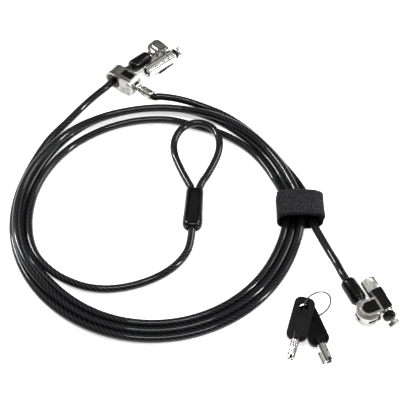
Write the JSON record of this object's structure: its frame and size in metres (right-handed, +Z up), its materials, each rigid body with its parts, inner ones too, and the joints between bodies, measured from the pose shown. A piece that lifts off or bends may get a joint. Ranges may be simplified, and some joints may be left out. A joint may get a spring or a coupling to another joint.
{
  "type": "twin-head laptop cable lock",
  "caption": "Coiled black security cable with swivelling key locks, a sliding eyelet, a looped end, a hook-and-loop tie and keys on a ring.",
  "frame": {"origin": "on the table, under the middle of the pieces that aren't cable", "axes": "+Z up from the table; +Y away from the viewer; +X right, towards the first lock"},
  "size_m": [0.2634, 0.2849, 0.0189],
  "materials": {
    "jacket": "glossy black sheath over twisted steel strands",
    "chrome": "bright nickel-chrome plate on die casting",
    "satin": "satin nickel plate",
    "steel": "turned steel",
    "black": "black moulded plastic",
    "matt": "matt black moulded plastic",
    "cloth": "woven hook-and-loop tape",
    "aluminium": "crimped aluminium"
  },
  "bodies": {
    "cable": {"cable_coil": "jacket", "cable_loop": "jacket", "cable_tail": "jacket", "cable_to_slider": "jacket", "second_cable_start": "jacket", "second_cable_end": "jacket", "cable_stud_1": "steel", "cable_stud_2": "steel", "loop_sleeve": "black", "loop_core": "aluminium", "tie_band": "cloth", "tie_tab": "cloth"},
    "slider": {"slider_body": "satin", "slider_flange": "chrome", "slider_bushing": "black", "slider_panel": "black", "link_pin": "steel"},
    "link": {"swivel_link": "chrome"},
    "ferrule": {"crimp_ferrule": "satin"},
    "ring": {"key_ring": "steel"},
    "knuckle_1": {"cable_sleeve_1": "black", "knuckle_1": "satin"},
    "head_1": {"housing_1": "chrome", "badge_panel_1": "black", "plain_cover_1": "chrome", "nose_cap_1": "chrome", "pivot_pin_1": "steel", "latch_spring_1": "steel"},
    "key_core_1": {"key_plug_1": "steel", "locking_bar_1": "steel"},
    "collar_1": {"nose_collar_1": "black"},
    "button_1": {"latch_button_1": "matt"},
    "knuckle_2": {"cable_sleeve_2": "black", "knuckle_2": "satin"},
    "head_2": {"housing_2": "chrome", "badge_panel_2": "black", "plain_cover_2": "chrome", "nose_cap_2": "chrome", "pivot_pin_2": "steel", "latch_spring_2": "steel"},
    "key_core_2": {"key_plug_2": "steel", "locking_bar_2": "steel"},
    "collar_2": {"nose_collar_2": "black"},
    "button_2": {"latch_button_2": "matt"},
    "key_1": {"key_bow_1": "black", "key_tube_1": "chrome", "key_bit_1": "steel"},
    "key_2": {"key_bow_2": "black", "key_tube_2": "chrome", "key_bit_2": "steel"}
  },
  "joints": [
    {"name": "slider_travel", "type": "slide", "parent": "cable", "child": "slider", "axis": [0.6018, 0.7986, 0], "range_m": [-0.001, 0.003]},
    {"name": "link_tilt", "type": "hinge", "parent": "slider", "child": "link", "pos_m": [-0.07959, 0.09708, 0.008], "axis": [0.6018, 0.7986, 0], "range_deg": [-4, 4]},
    {"name": "ferrule_swivel", "type": "hinge", "parent": "link", "child": "ferrule", "pos_m": [-0.07248, 0.09172, 0.008], "axis": [0.7986, -0.6018, 0], "continuous": true},
    {"name": "cable_swivel_1", "type": "hinge", "parent": "cable", "child": "knuckle_1", "pos_m": [0.07537, -0.09308, 0.0073], "axis": [0.4067, -0.9135, 0], "continuous": true},
    {"name": "head_swing_1", "type": "hinge", "parent": "knuckle_1", "child": "head_1", "pos_m": [0.08147, -0.10678, 0.0073], "axis": [0, 0, 1], "range_deg": [-120, 0]},
    {"name": "key_turn_1", "type": "hinge", "parent": "head_1", "child": "key_core_1", "pos_m": [0.09244, -0.1019, 0.0073], "axis": [0.4067, -0.9135, 0], "range_deg": [-38, 52]},
    {"name": "latch_push_1", "type": "slide", "parent": "head_1", "child": "button_1", "axis": [0.4067, -0.9135, 0], "range_m": [0, 0.0018]},
    {"name": "collar_slide_1", "type": "slide", "parent": "head_1", "child": "collar_1", "axis": [0.4067, -0.9135, 0], "range_m": [0, 0.0018]},
    {"name": "cable_swivel_2", "type": "hinge", "parent": "cable", "child": "knuckle_2", "pos_m": [-0.0731, 0.12499, 0.0073], "axis": [0.7314, 0.682, 0], "continuous": true},
    {"name": "head_swing_2", "type": "hinge", "parent": "knuckle_2", "child": "head_2", "pos_m": [-0.06213, 0.13522, 0.0073], "axis": [0, 0, -1], "range_deg": [-120, 0]},
    {"name": "key_turn_2", "type": "hinge", "parent": "head_2", "child": "key_core_2", "pos_m": [-0.05395, 0.12645, 0.0073], "axis": [0.7314, 0.682, 0], "range_deg": [-38, 52]},
    {"name": "latch_push_2", "type": "slide", "parent": "head_2", "child": "button_2", "axis": [0.7314, 0.682, 0], "range_m": [0, 0.0018]},
    {"name": "collar_slide_2", "type": "slide", "parent": "head_2", "child": "collar_2", "axis": [0.7314, 0.682, 0], "range_m": [0, 0.0018]},
    {"name": "key_swing_1", "type": "hinge", "parent": "ring", "child": "key_1", "pos_m": [0.04018, -0.10438, 0.0104], "axis": [-0.0548, -0.1792, 0.9823], "range_deg": [-30, 0]},
    {"name": "key_swing_2", "type": "hinge", "parent": "ring", "child": "key_2", "pos_m": [0.0428, -0.10613, 0.0041], "axis": [0.0057, -0.0165, 0.9998], "range_deg": [0, 30]},
    {"name": "keys_lift_off", "type": "slide", "parent": "cable", "child": "ring", "axis": [0, 0, 1], "range_m": [0, 0.12]}
  ],
  "couplings": [
    {"joint": "collar_slide_1", "follows": "latch_push_1", "ratio": 1},
    {"joint": "collar_slide_2", "follows": "latch_push_2", "ratio": 1}
  ]
}
